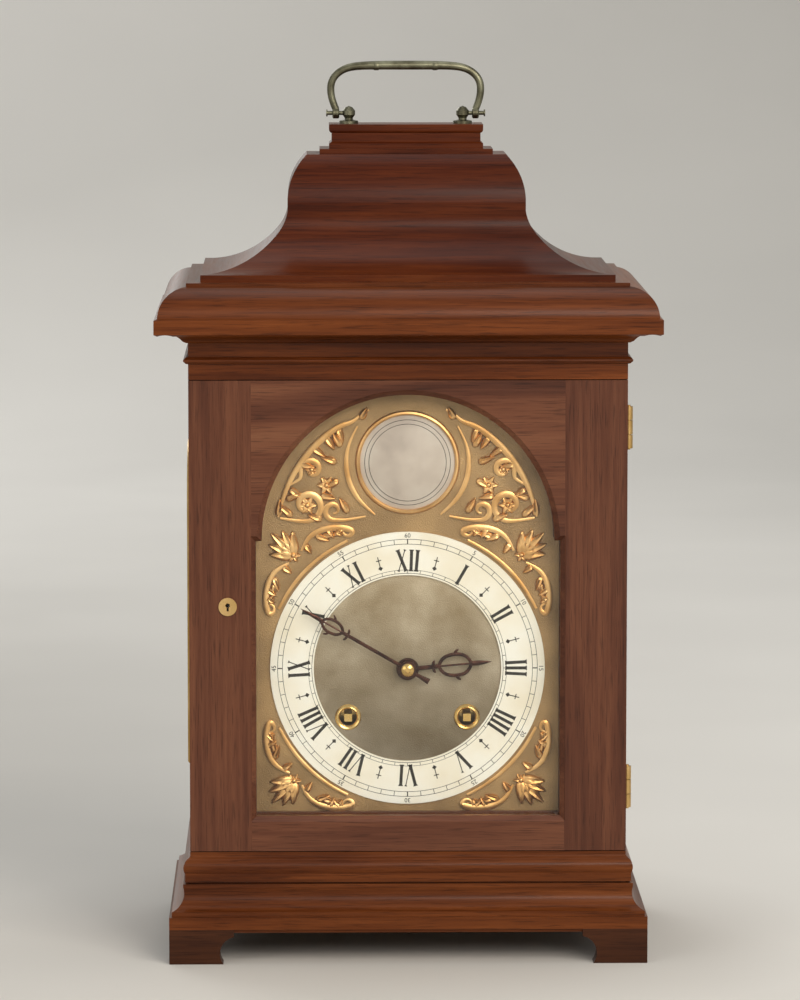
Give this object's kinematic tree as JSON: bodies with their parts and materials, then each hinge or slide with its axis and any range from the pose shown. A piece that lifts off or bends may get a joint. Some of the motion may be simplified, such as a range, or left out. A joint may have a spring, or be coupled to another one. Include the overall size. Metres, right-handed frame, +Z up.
{
  "type": "bracket clock",
  "caption": "Mahogany bracket clock with an arched brass dial, silvered chapter ring, bell top with carrying handle, glazed doors and a fusee movement that strikes.",
  "frame": {"origin": "middle of the footprint, on the surface the feet stand on", "axes": "+X to the right of the dial, the dial looks towards -Y, +Z up"},
  "size_m": [0.288, 0.198, 0.5132],
  "materials": {
    "mahogany": "polished",
    "case_board": "oiled",
    "glass": "clear",
    "case_brass": "satin",
    "handle_brass": "aged",
    "dial_brass": "matted",
    "silvered_brass": "silvered",
    "gilt_brass": "gilt",
    "blued_steel": "blued",
    "brass": "polished",
    "steel": "polished",
    "bell_metal": "turned"
  },
  "bodies": {
    "case": {"left_side": "mahogany", "right_side": "mahogany", "side_windows": "glass", "side_window_beads": "case_brass", "case_floor": "case_board", "base_moulding": "mahogany", "bracket_feet": "mahogany", "frieze": "mahogany", "cornice": "mahogany", "bell_top": "mahogany", "top_pad": "mahogany", "handle_pommels": "handle_brass", "case_hinges_front": "case_brass", "case_hinges_back": "case_brass", "dial_mask": "mahogany", "dial_plate": "dial_brass", "chapter_ring": "silvered_brass", "arch_boss": "silvered_brass", "dial_spandrels": "gilt_brass", "front_plate": "brass", "back_plate": "brass", "plate_pillars": "brass", "barrel_arbors": "steel", "seat_board": "case_board", "fusee_chains": "steel", "back_cock": "brass", "bell_stand": "steel", "bell": "bell_metal"},
    "front_door": {"front_door_frame": "mahogany", "front_door_glass": "glass", "front_door_hinges": "case_brass", "front_door_lock": "case_brass", "key_escutcheon": "case_brass"},
    "lock_bolt_body": {"lock_bolt": "steel"},
    "back_door": {"back_door_frame": "mahogany", "back_door_glass": "glass", "back_door_hinges": "case_brass"},
    "back_catch": {"back_door_catch": "case_brass"},
    "handle": {"carrying_handle": "handle_brass"},
    "minute": {"minute_hand": "blued_steel", "cannon_pinion": "steel"},
    "hour": {"hour_hand": "blued_steel", "hour_wheel": "brass"},
    "motion_wheel": {"minute_wheel": "brass"},
    "going_great": {"going_fusee": "brass"},
    "going_drum": {"going_barrel": "brass"},
    "centre": {"centre_wheel": "brass"},
    "third": {"third_wheel": "brass"},
    "escape": {"escape_wheel": "brass"},
    "pallet_arbor": {"pallets": "steel"},
    "pendulum": {"pendulum_rod": "steel", "pendulum_bob": "brass"},
    "strike_great": {"strike_fusee": "brass"},
    "strike_drum": {"strike_barrel": "brass"},
    "strike_pins": {"pin_wheel": "brass"},
    "strike_pallet": {"pallet_wheel": "brass"},
    "strike_warning": {"warning_wheel": "brass"},
    "strike_fly": {"fly": "brass"},
    "hammer_body": {"hammer": "steel"}
  },
  "joints": [
    {"name": "front_door_hinge", "type": "hinge", "parent": "case", "child": "front_door", "pos_m": [0.1265, -0.0642, 0.202], "axis": [0, 0, 1], "range_deg": [0, 108]},
    {"name": "lock_bolt_slide", "type": "slide", "parent": "front_door", "child": "lock_bolt_body", "axis": [-1, 0, 0], "range_m": [0, 0.0055]},
    {"name": "back_door_hinge", "type": "hinge", "parent": "case", "child": "back_door", "pos_m": [0.1265, 0.0642, 0.202], "axis": [0, 0, -1], "range_deg": [0, 108]},
    {"name": "back_catch_turn", "type": "hinge", "parent": "back_door", "child": "back_catch", "pos_m": [-0.104, 0.07, 0.205], "axis": [0, 1, 0], "range_deg": [0, 90]},
    {"name": "handle_swing", "type": "hinge", "parent": "case", "child": "handle", "pos_m": [0, 0, 0.483], "axis": [1, 0, 0], "range_deg": [-90, 90]},
    {"name": "minute_hand_turn", "type": "hinge", "parent": "case", "child": "minute", "pos_m": [0, 0, 0.1665], "axis": [0, 1, 0], "continuous": true},
    {"name": "minute_wheel_turn", "type": "hinge", "parent": "case", "child": "motion_wheel", "pos_m": [-0.01032, 0, 0.15176], "axis": [0, 1, 0], "continuous": true},
    {"name": "hour_hand_turn", "type": "hinge", "parent": "case", "child": "hour", "pos_m": [0, 0, 0.1665], "axis": [0, 1, 0], "continuous": true},
    {"name": "third_wheel_turn", "type": "hinge", "parent": "case", "child": "third", "pos_m": [0.018, 0, 0.19198], "axis": [0, 1, 0], "continuous": true},
    {"name": "centre_wheel_turn", "type": "hinge", "parent": "case", "child": "centre", "pos_m": [0, 0, 0.1665], "axis": [0, 1, 0], "continuous": true},
    {"name": "going_fusee_turn", "type": "hinge", "parent": "case", "child": "going_great", "pos_m": [0.0342, 0, 0.138], "axis": [0, 1, 0], "continuous": true},
    {"name": "going_barrel_turn", "type": "hinge", "parent": "case", "child": "going_drum", "pos_m": [0.058, 0, 0.0995], "axis": [0, 1, 0], "continuous": true},
    {"name": "escape_wheel_turn", "type": "hinge", "parent": "case", "child": "escape", "pos_m": [0, 0, 0.20694], "axis": [0, 1, 0], "continuous": true},
    {"name": "pendulum_swing", "type": "hinge", "parent": "case", "child": "pendulum", "pos_m": [0, 0, 0.228], "axis": [0, 1, 0], "range_deg": [-3, 3]},
    {"name": "pallets_rock", "type": "hinge", "parent": "case", "child": "pallet_arbor", "pos_m": [0, 0, 0.228], "axis": [0, 1, 0], "range_deg": [-3, 3]},
    {"name": "warning_wheel_turn", "type": "hinge", "parent": "case", "child": "strike_warning", "pos_m": [-0.0445, 0, 0.19376], "axis": [0, 1, 0], "continuous": true},
    {"name": "pallet_wheel_turn", "type": "hinge", "parent": "case", "child": "strike_pallet", "pos_m": [-0.0373, 0, 0.18129], "axis": [0, 1, 0], "continuous": true},
    {"name": "pin_wheel_turn", "type": "hinge", "parent": "case", "child": "strike_pins", "pos_m": [-0.04675, 0, 0.16492], "axis": [0, 1, 0], "continuous": true},
    {"name": "strike_fusee_turn", "type": "hinge", "parent": "case", "child": "strike_great", "pos_m": [-0.0342, 0, 0.138], "axis": [0, 1, 0], "continuous": true},
    {"name": "strike_barrel_turn", "type": "hinge", "parent": "case", "child": "strike_drum", "pos_m": [-0.058, 0, 0.0995], "axis": [0, 1, 0], "continuous": true},
    {"name": "fly_turn", "type": "hinge", "parent": "case", "child": "strike_fly", "pos_m": [-0.04268, 0, 0.2041], "axis": [0, 1, 0], "continuous": true},
    {"name": "hammer_lift", "type": "hinge", "parent": "case", "child": "hammer_body", "pos_m": [-0.06, 0, 0.2215], "axis": [0, 1, 0], "range_deg": [-8, 5.5], "stiffness_Nm_per_rad": 0.05}
  ],
  "couplings": [
    {"joint": "minute_wheel_turn", "follows": "minute_hand_turn", "ratio": -0.5},
    {"joint": "hour_hand_turn", "follows": "minute_hand_turn", "ratio": 0.083333},
    {"joint": "centre_wheel_turn", "follows": "third_wheel_turn", "ratio": -0.083333},
    {"joint": "going_fusee_turn", "follows": "third_wheel_turn", "ratio": 0.0069444},
    {"joint": "going_barrel_turn", "follows": "third_wheel_turn", "ratio": 0.0069444},
    {"joint": "escape_wheel_turn", "follows": "third_wheel_turn", "ratio": -11},
    {"joint": "pallets_rock", "follows": "pendulum_swing", "ratio": 1},
    {"joint": "pallet_wheel_turn", "follows": "warning_wheel_turn", "ratio": -0.14286},
    {"joint": "pin_wheel_turn", "follows": "warning_wheel_turn", "ratio": 0.017857},
    {"joint": "strike_fusee_turn", "follows": "warning_wheel_turn", "ratio": -0.0017857},
    {"joint": "strike_barrel_turn", "follows": "warning_wheel_turn", "ratio": -0.0017857},
    {"joint": "fly_turn", "follows": "warning_wheel_turn", "ratio": -6}
  ]
}
